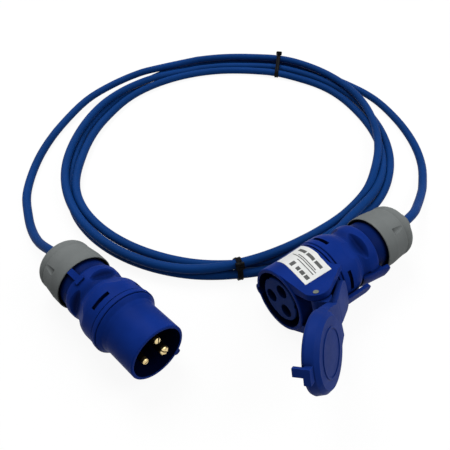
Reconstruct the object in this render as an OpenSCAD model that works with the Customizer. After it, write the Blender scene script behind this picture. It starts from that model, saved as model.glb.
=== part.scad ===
// Extension lead: a round three-pin plug and a lidded coupler on a coiled cable.
// Millimetres, Z up. The floor is Z = 0 and the origin lies midway between the two connectors.
// Each connector is drawn along its own axis: Z = 0 at its front rim, the body towards -Z.

/* [Plug] */
// Outer diameter of the plug's shroud
shroud_d = 44; // [42:0.5:46]
// Wall of the shroud
shroud_wall = 2.2; // [1.8:0.1:2.6]
// Length of the straight part of the shroud
shroud_len = 28; // [24:1:34]
// Length of the flare between the shroud and the lip
flare_len = 8; // [6:1:12]
// Diameter of the lip ring behind the flare
plug_lip_d = 52.6; // [51.6:0.2:55]
// Length of the lip ring
plug_lip_len = 3.8; // [3:0.2:6]
// Diameter of the key rib along the shroud
key_d = 5.2; // [4:0.2:5.6]
// Direction of the key rib, seen from the front
key_angle = -47; // [-90:1:0]

/* [Contacts] */
// Pitch circle of the three contacts
pin_circle_d = 19.2; // [18:0.2:20]
// Diameter of the line and neutral pins
pin_d = 5; // [4:0.2:5.4]
// Diameter of the earth pin
earth_pin_d = 7; // [6.4:0.2:7.2]
// Depth of the pin tips behind the rim
pin_recess = 1; // [0.5:0.5:4]
// Width of the saw cut in each pin tip
pin_slot = 0.9; // [0.6:0.1:1.2]
// Diameter of the terminal behind each contact
terminal_d = 8.6; // [8.2:0.2:9]
// Length of the terminal behind each contact
terminal_len = 14; // [12:1:15]
// Diameter of the terminal screws
screw_d = 3; // [2.4:0.2:3.4]
// Diameter of one insulated core of the cable
core_d = 2.8; // [2:0.2:3.2]

/* [Coupler] */
// Wall of the barrel at its rim
barrel_wall = 2.7; // [2.2:0.1:3.4]
// Depth of the round socket that takes the shroud
barrel_depth = 36; // [34:1:42]
// Growth of the barrel's radius from rim to lip
barrel_flare = 1.2; // [0.6:0.1:1.6]
// Radial room for the shroud in the socket
plug_clearance = 0.6; // [0.4:0.1:1]
// Diameter of the contact insert
insert_d = 35.4; // [34.6:0.2:36.2]
// Depth of the insert's face behind the rim
insert_recess = 1.4; // [0.6:0.2:4]
// Diameter of the contact holes in the insert
contact_hole_d = 10.8; // [9.6:0.2:11.6]
// Depth of the sleeves behind the insert's face
sleeve_recess = 7; // [5:0.5:12]
// Wall of the keyway's bulge
keyway_wall = 2.4; // [1.6:0.2:3]

/* [Lid and hinge] */
// Height of the hinge pin above the barrel's axis
hinge_height = 38; // [37:0.5:40]
// Distance of the hinge pin behind the rim
hinge_setback = 7.2; // [6.6:0.2:8]
// Diameter of the hinge pin
hinge_pin_d = 4; // [3:0.2:4.4]
// Clear width between the hinge cheeks
cheek_gap = 26.8; // [24:0.4:30]
// Thickness of each hinge cheek
cheek_t = 4.4; // [3.6:0.2:5]
// Radius of the cheeks' round nose
cheek_nose_r = 10; // [9:0.5:10.5]
// Slope of the cheeks' back edge, where the open lid stops
cheek_slope = 31; // [26:1:34]
// Depth of the lid's cap
lid_depth = 9.6; // [8:0.2:12]
// Wall of the lid
lid_wall = 2.2; // [1.8:0.2:2.6]
// Overhang of the lid past the barrel's rim
lid_overhang = 1; // [0.8:0.1:2]
// Length of the thumb lever beyond the hinge
lever_len = 30; // [26:1:32]
// Thickness of the gasket in the lid
gasket_t = 2.8; // [2:0.2:3.4]

/* [Rear housings] */
// Diameter of the plug housing's collar
plug_collar_d = 51.2; // [50.6:0.2:53]
// Diameter of the coupler housing's collar
coupler_collar_d = 54; // [52:0.2:55]
// Length of the collar
collar_len = 18.5; // [17:0.5:20]
// Length of the scalloped waist
waist_len = 13; // [12:1:16]
// Depth of the finger scallops below the ring behind them
scallop_depth = 4.2; // [2:0.2:4.4]
// How much smaller than the collar the ring behind the scallops is, in radius
ring_drop = 3; // [2:0.2:3.2]
// Length of the ring
ring_len = 8; // [7:0.5:10]
// Diameter of the neck under the gland nut's skirt
neck_d = 41; // [40.4:0.2:41.4]
// Diameter of the thread that carries the gland nut
thread_d = 39; // [38:0.2:39.4]
// Length of the thread that carries the gland nut
thread_len = 12; // [10:1:14]

/* [Gland nuts] */
// Clear gap between the neck and the gland nut's skirt
skirt_gap = 1.7; // [1.4:0.1:2.6]
// Wall of the gland nut's skirt
skirt_wall = 1.3; // [1.2:0.1:1.8]
// Length of the gland nut
nut_len = 42; // [41:0.5:48]
// Depth of the open skirt at the gland nut's front
nut_skirt = 9; // [6:1:10]
// Length of the plug's neck that stays bare in front of its gland nut
plug_bare_neck = 7; // [4:0.5:9]
// Length of the coupler's neck that stays bare in front of its gland nut
coupler_bare_neck = 10; // [4:0.5:12]
// Depth of the grip notches
notch_depth = 1.9; // [1:0.1:2.2]

/* [Cable] */
// Diameter of the cable
cable_d = 8; // [7:0.2:9]
// Width of the coiled bundle
coil_w = 36; // [30:1:42]
// Height of the coiled bundle
coil_h = 16.4; // [15:0.2:20]
// Half length of the coil's middle line
coil_a = 174.5; // [168:0.5:184]
// Half width of the coil's middle line
coil_b = 154.5; // [148:0.5:162]
// Width of the tie straps
tie_w = 4.6; // [3:0.2:6]
// Thickness of the tie straps
tie_t = 1.2; // [0.8:0.1:1.6]

/* [Hidden] */
$fn = 72;

// Where the connectors and the coil lie on the floor
plug_x = -95.26;
plug_y = -18.18;
plug_turn = 8.4;
coupler_x = -0.86;
coupler_y = -31.68;
coupler_roll = 25.6;
coil_x = 101.14;
coil_y = 165.32;
coil_turn = 26;

// Clearances
fit = 0.2;
joint_gap = 0.3;
pin_fit = 0.05;
hinge_play = 0.08;
side_play = 0.4;
lid_gap = 0.3;
edge = 0.6;
over = 1;

// Colours
blue = [0.06, 0.13, 0.48];
cable_blue = [0.05, 0.20, 0.48];
lid_blue = [0.14, 0.23, 0.45];
black = [0.03, 0.03, 0.04];
grey = [0.46, 0.48, 0.48];
brass = [0.80, 0.66, 0.32];
steel = [0.75, 0.76, 0.74];

// Radii shared by both connectors
cable_r = cable_d / 2;
pin_circle_r = pin_circle_d / 2;
terminal_r = terminal_d / 2;
shroud_r = shroud_d / 2;
shroud_in = shroud_r - shroud_wall;
thread_r = thread_d / 2;
neck_r = neck_d / 2;
skirt_r = neck_r + skirt_gap;
nut_r = skirt_r + skirt_wall;
nut_straight = 10;
nut_back = 9;
thread_relief = 1;
cone_front = nut_skirt + thread_len + thread_relief;
cone_back = nut_len - nut_back;
thread_bore = thread_r + joint_gap;
cone_room = 4;
cone_tip_r = cable_r + cone_room;
cone_slope = (thread_bore - cone_tip_r) / (cone_back - cone_front);
carrier_r = 20;
carrier_rim = 2;
spigot_wall = 3;
spigot_r = carrier_r + fit + spigot_wall;

// Rear housing, as distances behind its front face
ring_s = collar_len + waist_len;
ring_end_s = ring_s + ring_len;
ring_round = 1.4;
seal_land = 1.5;
jacket_reach = 6;
function nut_s(bare) = ring_end_s + ring_round + bare;
function shoulder_s(bare) = nut_s(bare) + nut_skirt;
function thread_s(bare) = shoulder_s(bare) + thread_len;
function seal_seat_s(bare) = shoulder_s(bare) + seal_land;
function jacket_end_s(bare) = shoulder_s(bare) - jacket_reach;
spigot_len = 0.7 * collar_len;
seat_s = spigot_len + joint_gap;
waist_dip = 1.7;
seal_r = 15;
cavity_r = 16.6;
function ring_r(collar_r) = collar_r - ring_drop;
cable_room = 3;
plug_rib_angle = 111;
coupler_rib_angle = 90;
plug_nut_turn = 135;
coupler_nut_turn = 121;

// Plug, along its own axis
plug_lip_r = plug_lip_d / 2;
plug_lip_z = -shroud_len - flare_len;
plug_end_z = plug_lip_z - plug_lip_len;
plug_rear_z = plug_end_z - joint_gap;
step_drop = 1;
plug_step_z = plug_lip_z - step_drop;
step_t = 2;
plug_disc_z = plug_step_z - step_t - fit;
disc_t = 11;
plug_term_z = plug_disc_z - disc_t - fit;
key_r = key_d / 2;
key_sink = 0.4;
key_radius = shroud_in + key_sink + key_r;

// The plug leans on its lip and on the gland nut
lip_round = 0.4;
lip_rest_z = plug_end_z + lip_round;
nut_rest_z = plug_rear_z - nut_s(plug_bare_neck) - nut_straight;
plug_tilt = atan2(plug_lip_r - nut_r, lip_rest_z - nut_rest_z);
plug_z = plug_lip_r * cos(plug_tilt) - lip_rest_z * sin(plug_tilt);

// Coupler, along its own axis
barrel_in = shroud_r + plug_clearance;
barrel_r = barrel_in + barrel_wall;
barrel_back_r = barrel_r + barrel_flare;
web_t = 3;
groove_w = 0.8;
coupler_lip_len = 2.6;
groove_z = -barrel_depth - web_t + groove_w;
coupler_end_z = groove_z - groove_w - coupler_lip_len;
coupler_rear_z = coupler_end_z - joint_gap;
insert_r = insert_d / 2;
flange_z = -barrel_depth - web_t - fit;
flange_t = 9;
sleeve_z = -insert_recess - sleeve_recess;
coupler_term_z = flange_z - flange_t - fit;
coupler_z = coupler_collar_d / 2;
coupler_earth_angle = -90;
key_bulge_r = key_r + plug_clearance + keyway_wall;

// Lid and hinge
cheek_front = 0.9;
cheek_x = cheek_gap / 2;
cheek_out = cheek_x + cheek_t;
nose_rise = 5.4;
nose_y = hinge_height + nose_rise - cheek_nose_r;
nose_z = -cheek_front - cheek_nose_r;
lid_angle = 90 + cheek_slope;
// Distance from the hinge axis to the cheeks' back edge, and to the lid's inner plane
stop_t = (nose_y - hinge_height) * cos(cheek_slope) - (nose_z + hinge_setback) * sin(cheek_slope)
    + cheek_nose_r;
lid_t = stop_t + lid_gap;
lid_z = lid_t - hinge_setback;
lid_rim_r = barrel_r + lid_overhang;
lid_draft = 1.4;
lid_bevel = 2.6;
lid_face_r = lid_rim_r - lid_draft;
knuckle_wall = 2.6;
knuckle_r = hinge_pin_d / 2 + knuckle_wall;
gasket_edge = 2;
gasket_w = 2.2;
gasket_r = lid_rim_r - gasket_edge;

// Coil, a four-arc oval
coil_end_r = 140;
end_offset = coil_a - coil_end_r;
side_r = (end_offset * end_offset + coil_b * coil_b - coil_end_r * coil_end_r)
    / (2 * (coil_b - coil_end_r));
side_offset = side_r - coil_b;
arc_half = atan2(side_offset, end_offset);
coil_z = tie_t + fit;
strap_room = 0.2;

// Routes of the two leads on the floor, from each gland to the coil
plug_route = [
    [-118.3, 141.2, 12.5], [-116.8, 166.2, 6], [-111.8, 189.2, 4.2], [-102.3, 217.2, 4.2],
    [-83.3, 248.2, 4.2], [-59.3, 277.2, 4.2], [-28.3, 304.2, 5], [13.7, 329.2, 8], [51.7, 338.7, 10.5],
    [88.7, 340.7, 12.5], [115.7, 337.7, 12.5]
];
coupler_route = [
    [157.7, -26.8, 22.5], [175.7, -18.3, 16], [193.7, -8.8, 11], [210.7, 1.7, 7], [237.7, 23.7, 4.2],
    [258.7, 50.2, 4.2], [276.2, 83.2, 4.2], [288.7, 120.2, 4.2], [292.7, 148.2, 4.2],
    [290.7, 175.2, 4.2]
];

// Points of an arc in the plane
function arc(cx, cy, r, from, to, steps) =
    [for (i = [0:steps]) let (a = from + (to - from) * i / steps) [cx + r * cos(a), cy + r * sin(a)]];

// A smooth run of points through a route, with a given number of steps between its points
function pick(p, i) = p[max(0, min(len(p) - 1, i))];
function blend(a, b, c, d, t) =
    0.5 * (2 * b + (c - a) * t + (2 * a - 5 * b + 4 * c - d) * t * t + (3 * b - a - 3 * c + d) * t * t * t);
function smooth(p, steps) = concat(
    [for (i = [0:len(p) - 2], k = [0:steps - 1])
        blend(pick(p, i - 1), p[i], p[i + 1], pick(p, i + 2), k / steps)],
    [p[len(p) - 1]]
);
function unit(v) = v / norm(v);
function heading(p, i) = unit(pick(p, i + 1) - pick(p, i - 1));
function across(t) = abs(t[2]) > 0.95 ? unit(cross(t, [1, 0, 0])) : unit(cross(t, [0, 0, 1]));
function ring(p, i, r, sides) =
    let (t = heading(p, i), u = across(t), v = cross(t, u))
    [for (k = [0:sides - 1]) p[i] + r * (cos(360 * k / sides) * u + sin(360 * k / sides) * v)];

// A round tube swept along points
module tube(p, r, sides = 10) {
    n = len(p);
    skin = [for (i = [0:n - 2], k = [0:sides - 1]) let (a = i * sides, m = (k + 1) % sides)
        [a + k, a + m, a + sides + m, a + sides + k]];
    caps = [[for (k = [sides - 1:-1:0]) k], [for (k = [0:sides - 1]) (n - 1) * sides + k]];
    polyhedron([for (i = [0:n - 1]) each ring(p, i, r, sides)], concat(skin, caps), convexity = 8);
}

// Places of the two connectors
module at_plug() {
    translate([plug_x, plug_y, plug_z]) rotate([90 - plug_tilt, 0, plug_turn]) children();
}
module at_coupler() {
    translate([coupler_x, coupler_y, coupler_z])
        rotate([0, -90, 0]) rotate([0, 0, 180 + coupler_roll]) children();
}
function plug_point(s) =
    let (h = cos(plug_tilt), z = plug_rear_z - s)
    [plug_x + z * h * sin(plug_turn), plug_y - z * h * cos(plug_turn), plug_z + z * sin(plug_tilt)];
function coupler_point(s) = [coupler_x - coupler_rear_z + s, coupler_y, coupler_z];

// Turned shape: a profile of [radius, height] points swept round the axis
module turned(points) {
    rotate_extrude() polygon(points);
}
// Part of a turned shape, centred on a direction
module turned_sector(points, direction, width) {
    rotate([0, 0, direction - width / 2]) rotate_extrude(angle = width) polygon(points);
}
// Places of the three contacts, the earth at the given direction
module at_contact(direction, turn) {
    rotate([0, 0, direction + turn]) translate([pin_circle_r, 0, 0]) children();
}

// Bayonet lugs on a front body's spigot, seen in the housing's windows
lug_width = 14;
lug_turn = 9;
window_width = 35;
window_s = [5, 8.2];
lug_play = 0.35;
lug_sink = 1.2;
module lugs(collar_r, rear_z, rib_angle) {
    top = rear_z - window_s[0] - lug_play;
    bottom = rear_z - window_s[1] + lug_play;
    for (k = [0:3])
        turned_sector([[spigot_r - over, top], [collar_r - lug_sink, top],
            [collar_r - lug_sink, bottom], [spigot_r - over, bottom]],
            rib_angle + lug_turn + 90 * k, lug_width);
}

// Spigot at the back of a front body, hollow for the contact carrier
module spigot(from_z, rear_z) {
    turned([[carrier_r + fit, from_z], [spigot_r, from_z], [spigot_r, rear_z - spigot_len + edge],
        [spigot_r - edge, rear_z - spigot_len], [carrier_r + fit, rear_z - spigot_len]]);
}

// Finger scallop: a flat ramp down from the collar, then a steep wall up to the ring
ramp_start = 7;
scallop_back = 1.5;
wall_run = 4.5;
scallop_round = 2.4;
module scallop(collar_r) {
    floor_r = ring_r(collar_r) - scallop_depth;
    start = collar_len - ramp_start;
    back = ring_s + scallop_back;
    low = back - wall_run;
    rotate([90, 0, 0]) linear_extrude(3 * collar_r, center = true)
        polygon(concat([[collar_r, -start]],
            arc(floor_r + scallop_round, -low, scallop_round, 150, 225, 6),
            [[ring_r(collar_r), -back], [collar_r + over, -back], [collar_r + over, -start]]));
}

module rear_housing(collar_r, rib_angle, bare) {
    bore_r = spigot_r + fit;
    cable_hole = cable_r + cable_room;
    shoulder = shoulder_s(bare);
    seal_seat = seal_seat_s(bare);
    thread_end = thread_s(bare);
    waist_r = ring_r(collar_r);
    difference() {
        turned([
            // The collar rounds off into the waist, which rises again to the ring
            [bore_r, 0], [collar_r - edge, 0], [collar_r, -edge], [collar_r, -0.62 * collar_len],
            [collar_r - 0.35, -0.76 * collar_len], [collar_r - 0.85, -0.87 * collar_len],
            [collar_r - 1.7, -0.97 * collar_len], [waist_r + 0.3, -collar_len - 1.5],
            [waist_r - 0.9, -collar_len - 3.4], [waist_r - waist_dip, -collar_len - 5.4],
            [waist_r - waist_dip, -collar_len - 7.2], [waist_r - 1.1, -ring_s + 3.4],
            [waist_r - 0.45, -ring_s + 1.4], [waist_r - 0.1, -ring_s - 0.6],
            [waist_r, -ring_s - 2.5], [waist_r, -ring_end_s + 2.6], [waist_r - 0.5, -ring_end_s + 1],
            [waist_r - 1.2, -ring_end_s],
            [neck_r, -ring_end_s - ring_round], [neck_r, -shoulder], [thread_r, -shoulder],
            [thread_r, -thread_end + edge], [thread_r - edge, -thread_end],
            [seal_r + fit, -thread_end], [seal_r + fit, -seal_seat],
            [cable_hole, -seal_seat], [cable_hole, -seal_seat + 3],
            [cavity_r, -seal_seat + 7], [cavity_r, -seat_s], [bore_r, -seat_s]
        ]);
        for (k = [0:3]) rotate([0, 0, rib_angle + 45 + 90 * k]) scallop(collar_r);
        for (k = [0:3])
            turned_sector([[bore_r - over, -window_s[0]], [collar_r + over, -window_s[0]],
                [collar_r + over, -window_s[1]], [bore_r - over, -window_s[1]]],
                rib_angle + 90 * k, window_width);
    }
}

// Grip tab across the neck of the plug's housing
tab_w = 4.7;
tab_rise = 0.9;
tab_head_len = 3.6;
module grip_tab(direction) {
    waist_r = ring_r(plug_collar_d / 2);
    back = nut_s(plug_bare_neck) - edge;
    front = ring_s + 1;
    rotate([0, 0, direction]) {
        translate([neck_r - over, -tab_w / 2, -back])
            cube([waist_r + tab_rise - neck_r + over, tab_w, back - front]);
        translate([waist_r - over, -tab_w * 0.75, -front - tab_head_len])
            cube([tab_rise + over + 0.5, tab_w * 1.5, tab_head_len]);
    }
}

nut_hole_room = 0.8;
module gland_nut() {
    hole_r = cable_r + nut_hole_room;
    taper_end = nut_len - 20;
    notch_r = 3;
    notch_lean = 2;
    notch_front = 11;
    notch_len = 22;
    difference() {
        turned(concat(
            [[hole_r, -cone_back], [cone_tip_r, -cone_back], [thread_bore, -cone_front],
                [thread_bore, -nut_skirt - joint_gap], [skirt_r - 0.4, -nut_skirt - joint_gap],
                [skirt_r, -edge], [skirt_r + 0.4, 0]],
            [[nut_r - 0.3, 0], [nut_r, -edge], [nut_r, -nut_straight], [nut_r - 1, -nut_straight - 9],
                [nut_r - 1.3, -taper_end]],
            arc(nut_r - 9.3, -taper_end - 4, 8, 20, -38, 6),
            [[13, -nut_len + 4.5]], arc(8.2, -nut_len + 3, 3, 10, -90, 4),
            [[hole_r, -nut_len]]
        ));
        for (k = [0:2])
            rotate([0, 0, 120 * k])
                translate([nut_r - notch_depth + notch_r, 0, -notch_front])
                    rotate([0, 180 - notch_lean, 0]) cylinder(r = notch_r, h = notch_len);
    }
}

module seal(bare) {
    front = seal_seat_s(bare) + fit;
    back = thread_s(bare) - fit;
    turned([[cable_r + fit, -front], [seal_r, -front], [seal_r, -back], [cable_r + fit, -back]]);
}

// Clamping fingers between the seal and the gland nut's cone
module clamp_ring(bare) {
    room = 0.4;
    front = thread_s(bare) + fit;
    full_r = seal_r - fit;
    tip_r = cable_r + 3.4;
    full = nut_s(bare) + cone_front + (thread_bore - full_r) / cone_slope - 2 * room;
    tip = nut_s(bare) + cone_front + (thread_bore - tip_r) / cone_slope - 2 * room;
    slit = 1.2;
    difference() {
        turned([[cable_r + fit, -front], [full_r, -front], [full_r, -full], [tip_r, -tip],
            [cable_r + fit, -tip]]);
        for (k = [0:5])
            rotate([0, 0, 60 * k]) translate([0, -slit / 2, -tip - over])
                cube([seal_r + over, slit, tip - front - 3]);
    }
}

// Brass terminal with its wire hole and its screw hole, the screw pointing outwards
wire_depth = 10;
screw_s = 6;
module terminal(z, fill = 0) {
    difference() {
        translate([0, 0, z - terminal_len]) cylinder(d = terminal_d, h = terminal_len + fill);
        translate([0, 0, z - terminal_len - over]) cylinder(r = core_d / 2 + fit, h = wire_depth + over);
        translate([0, 0, z - terminal_len + screw_s]) rotate([0, 90, 0])
            cylinder(d = screw_d, h = terminal_d);
    }
}
module terminal_screw(z) {
    head = 0.8;
    translate([core_d / 2 + fit, 0, z - terminal_len + screw_s]) rotate([0, 90, 0])
        difference() {
            cylinder(d = screw_d - 2 * pin_fit, h = terminal_r - core_d / 2 + head);
            translate([-screw_d, -0.3, terminal_r - core_d / 2]) cube([2 * screw_d, 0.6, 2 * head]);
        }
}
module terminal_screws(z, direction) {
    color(steel) for (k = [0:2]) at_contact(direction, 120 * k) terminal_screw(z);
}
// Cores from the terminals to the end of the cable's jacket
module cores(z, jacket_z, direction) {
    inner = core_d * 0.62;
    color(brass) for (k = [0:2]) rotate([0, 0, direction + 120 * k])
        tube([[pin_circle_r, 0, z - terminal_len + wire_depth - 3], [pin_circle_r, 0, z - terminal_len - 1],
            [pin_circle_r - 0.8, 0, z - terminal_len - 5], [inner + 0.6, 0, jacket_z + 3.5],
            [inner, 0, jacket_z + fit]], core_d / 2, 8);
}

// Plug
module plug_body() {
    flare_r = plug_lip_r - 0.9;
    fillet = flare_r - shroud_r;
    color(blue) at_plug() {
        difference() {
            union() {
                turned(concat(
                    [[0, 0], [shroud_r - edge, 0], [shroud_r, -edge], [shroud_r, -shroud_len]],
                    [[shroud_r + 0.25 * fillet, -shroud_len - 0.5 * flare_len],
                        [flare_r - 0.4, plug_lip_z + 1.4], [flare_r, plug_lip_z + 0.8]],
                    [[flare_r, plug_lip_z + 0.5], [flare_r - edge, plug_lip_z + 0.5],
                        [flare_r - edge, plug_lip_z],
                        [plug_lip_r - lip_round, plug_lip_z], [plug_lip_r, plug_lip_z - lip_round],
                        [plug_lip_r, plug_end_z + lip_round], [plug_lip_r - lip_round, plug_end_z],
                        [0, plug_end_z]]
                ));
                rotate([0, 0, key_angle]) translate([key_radius, 0, -shroud_len - 0.3 * flare_len])
                    cylinder(r = key_r, h = shroud_len + 0.3 * flare_len - edge);
            }
            translate([0, 0, plug_step_z]) cylinder(r = shroud_in, h = over - plug_step_z);
            translate([0, 0, plug_end_z - over]) cylinder(r = cavity_r + fit, h = over - plug_end_z);
            translate([0, 0, plug_end_z - over])
                cylinder(r = carrier_r + fit, h = plug_step_z - step_t - plug_end_z + over);
        }
        spigot(plug_end_z + edge, plug_rear_z);
        lugs(plug_collar_d / 2, plug_rear_z, plug_rib_angle);
    }
}

// Growth of a pin's radius where the carrier holds it
shank_step = 0.7;
module plug_carrier() {
    disc_end = plug_disc_z - disc_t;
    rim_end = plug_rear_z - seat_s + fit;
    color(black) at_plug() difference() {
        turned([[0, plug_step_z], [cavity_r, plug_step_z], [cavity_r, plug_disc_z], [carrier_r, plug_disc_z],
            [carrier_r, rim_end], [carrier_r - carrier_rim, rim_end], [carrier_r - carrier_rim, disc_end],
            [0, disc_end]]);
        for (k = [0:2])
            at_contact(key_angle, 120 * k) translate([0, 0, disc_end - over])
                cylinder(d = (k == 0 ? earth_pin_d : pin_d) + 2 * shank_step + 2 * pin_fit,
                    h = plug_step_z - disc_end + 2 * over);
    }
}

// Turned pin with a domed, saw-cut tip, a thicker shank in the carrier and its terminal behind
module plug_pin(d, turn) {
    tip = -pin_recess;
    dome = 0.22 * d;
    cut = 1.4 * d;
    shank_r = d / 2 + shank_step;
    color(brass) at_plug() at_contact(key_angle, turn) {
        difference() {
            turned([[0, plug_term_z - over], [shank_r, plug_term_z - over],
                [shank_r, plug_step_z + joint_gap],
                [d / 2, plug_step_z + joint_gap], [d / 2, tip - dome],
                [d / 2 - 0.3 * dome, tip - 0.45 * dome], [d / 2 - dome, tip], [0, tip]]);
            translate([-d, -pin_slot / 2, tip - cut]) cube([2 * d, pin_slot, cut + over]);
        }
        terminal(plug_term_z);
    }
}
module plug_pin_line() { plug_pin(pin_d, 120); }
module plug_pin_neutral() { plug_pin(pin_d, 240); }
module plug_pin_earth() { plug_pin(earth_pin_d, 0); }
module plug_terminal_screws() { at_plug() terminal_screws(plug_term_z, key_angle); }
module plug_cores() { at_plug() cores(plug_term_z, plug_rear_z - jacket_end_s(plug_bare_neck), key_angle); }

module plug_rear_housing() {
    color(blue) at_plug() translate([0, 0, plug_rear_z]) {
        rear_housing(plug_collar_d / 2, plug_rib_angle, plug_bare_neck);
        for (k = [0, 180]) grip_tab(plug_rib_angle + k);
    }
}
module plug_seal() { color(black) at_plug() translate([0, 0, plug_rear_z]) seal(plug_bare_neck); }
module plug_clamp_ring() { color(grey) at_plug() translate([0, 0, plug_rear_z]) clamp_ring(plug_bare_neck); }
module plug_gland_nut() {
    color(grey) at_plug() translate([0, 0, plug_rear_z - nut_s(plug_bare_neck)])
        rotate([0, 0, plug_nut_turn]) gland_nut();
}

// Coupler
cheek_foot = 8;
module hinge_cheek(thick, foot_y) {
    slope_len = (barrel_depth + nose_z) / cos(cheek_slope);
    profile = concat(
        [[foot_y, -cheek_front]],
        arc(nose_y, nose_z, cheek_nose_r, 90, -cheek_slope, 12),
        [[nose_y + cheek_nose_r * cos(cheek_slope) - slope_len * sin(cheek_slope),
            nose_z - cheek_nose_r * sin(cheek_slope) - slope_len * cos(cheek_slope)],
            [foot_y, -barrel_depth - 1]]
    );
    rotate([90, 0, 90]) linear_extrude(thick) polygon(profile);
}

// Fairing from the barrel to a cheek's outer face, flat and tangent to the barrel
fairing_drop = 4;
module fairing() {
    end_y = hinge_height - fairing_drop;
    lean = atan2(end_y, cheek_out) - acos(barrel_r / norm([cheek_out, end_y]));
    intersection() {
        translate([0, 0, -barrel_depth]) linear_extrude(barrel_depth - cheek_front)
            polygon([[barrel_r * cos(lean), barrel_r * sin(lean)], [cheek_out, end_y],
                [cheek_x, end_y], [cheek_x, barrel_in - cheek_foot]]);
        hinge_cheek(barrel_r, 0);
    }
}

// Locking tongue that reaches back from the lower cheek over the collar
tongue_w = 9;
tongue_t = 2.6;
tongue_turn = -30;
tongue_end = -61;
module tongue() {
    r = coupler_collar_d / 2 + 1;
    rotate([0, 0, tongue_turn]) {
        translate([-tongue_w / 2, r, tongue_end]) cube([tongue_w, tongue_t, -tongue_end - barrel_depth + 4]);
        translate([0, r, tongue_end]) rotate([-90, 0, 0]) cylinder(d = tongue_w, h = tongue_t);
    }
}

module coupler_body() {
    color(blue) at_coupler() {
        difference() {
            union() {
                turned([[0, 0], [barrel_r - edge, 0], [barrel_r, -edge],
                    [barrel_r + 0.1, -barrel_depth * 0.45],
                    [barrel_back_r, groove_z + edge], [barrel_back_r - edge, groove_z],
                    [barrel_back_r - 1, groove_z], [barrel_back_r - 1, groove_z - groove_w],
                    [barrel_back_r, groove_z - groove_w], [barrel_back_r, coupler_end_z + lip_round],
                    [barrel_back_r - lip_round, coupler_end_z], [0, coupler_end_z]]);
                translate([0, -key_radius, -barrel_depth])
                    cylinder(r = key_bulge_r, h = barrel_depth - edge);
                for (x = [-cheek_out, cheek_x])
                    translate([x, 0, 0]) hinge_cheek(cheek_t, barrel_in - cheek_foot);
                for (side = [0, 1]) mirror([side, 0, 0]) fairing();
                tongue();
            }
            translate([0, 0, -barrel_depth]) cylinder(r = barrel_in, h = barrel_depth + over);
            translate([0, -key_radius, -barrel_depth])
                cylinder(r = key_r + plug_clearance, h = barrel_depth + over);
            translate([0, 0, coupler_end_z - over]) cylinder(r = insert_r + fit, h = over - coupler_end_z);
            translate([0, 0, coupler_end_z - over])
                cylinder(r = carrier_r + fit, h = flange_z + fit - coupler_end_z + over);
            translate([0, hinge_height, -hinge_setback]) rotate([0, 90, 0])
                cylinder(d = hinge_pin_d + 2 * pin_fit, h = 3 * cheek_out, center = true);
        }
        spigot(coupler_end_z + edge, coupler_rear_z);
        lugs(coupler_collar_d / 2, coupler_rear_z, coupler_rib_angle);
    }
}

module coupler_carrier() {
    flange_end = flange_z - flange_t;
    rim_end = coupler_rear_z - seat_s + fit;
    seat_z = sleeve_z - 14;
    color(blue) at_coupler() difference() {
        turned([[0, -insert_recess], [insert_r - edge, -insert_recess], [insert_r, -insert_recess - edge],
            [insert_r, flange_z], [carrier_r, flange_z], [carrier_r, rim_end],
            [carrier_r - carrier_rim, rim_end],
            [carrier_r - carrier_rim, flange_end], [0, flange_end]]);
        for (k = [0:2])
            at_contact(coupler_earth_angle, 120 * k) {
                translate([0, 0, seat_z]) cylinder(d = contact_hole_d, h = -seat_z);
                translate([0, 0, flange_end - over])
                    cylinder(d = terminal_d + 2 * fit, h = seat_z - flange_end + 2 * over);
            }
        for (k = [0:2])
            rotate([0, 0, 90 + 120 * k]) translate([insert_r + 1.2, 0, -insert_recess - 6])
                cylinder(r = 2.4, h = 6 + insert_recess);
    }
}

// Sleeve contact, open at the front, with its terminal behind the carrier
module coupler_sleeve(d, turn) {
    bore = d + 2 * pin_fit;
    bore_len = 28;
    color(brass) at_coupler() at_contact(coupler_earth_angle, turn) difference() {
        terminal(coupler_term_z, sleeve_z - coupler_term_z);
        translate([0, 0, sleeve_z - bore_len]) cylinder(d = bore, h = bore_len + over);
    }
}
module coupler_sleeve_line() { coupler_sleeve(pin_d, 240); }
module coupler_sleeve_neutral() { coupler_sleeve(pin_d, 120); }
module coupler_sleeve_earth() { coupler_sleeve(earth_pin_d, 0); }
module coupler_terminal_screws() { at_coupler() terminal_screws(coupler_term_z, coupler_earth_angle); }
module coupler_cores() {
    at_coupler()
        cores(coupler_term_z, coupler_rear_z - jacket_end_s(coupler_bare_neck), coupler_earth_angle);
}

// Thumb wing that spreads back to the gland nut's edge
wing_width = 28;
wing_turn = 58;
wing_round = 8;
module thumb_wing() {
    waist_r = ring_r(coupler_collar_d / 2);
    root_r = cavity_r + over;
    tip = nut_s(coupler_bare_neck) - 1.5;
    tip_r = nut_r + 4;
    foot = collar_len + 3;
    back = foot + 20;
    intersection() {
        turned_sector([[root_r, -foot - 2], [waist_r + 0.6, -foot], [waist_r + 2, -foot - 11],
            [tip_r - 0.6, -tip + 8], [tip_r, -tip + 3], [tip_r - 0.5, -tip], [tip_r - 2.4, -tip + 0.6],
            [tip_r - 3, -tip + 8], [waist_r - 0.6, -back], [root_r, -back]], wing_turn, wing_width);
        rotate([0, 0, wing_turn]) union() {
            translate([0, 0, -tip + wing_round]) rotate([0, 90, 0]) cylinder(r = wing_round, h = 2 * tip_r);
            translate([0, -wing_round * 0.8, -tip + 1.4 * wing_round])
                cube([2 * tip_r, wing_round * 1.6, tip]);
        }
    }
}
module coupler_rear_housing() {
    color(blue) at_coupler() translate([0, 0, coupler_rear_z]) {
        rear_housing(coupler_collar_d / 2, coupler_rib_angle, coupler_bare_neck);
        thumb_wing();
    }
}
module coupler_seal() {
    color(black) at_coupler() translate([0, 0, coupler_rear_z]) seal(coupler_bare_neck);
}
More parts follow.
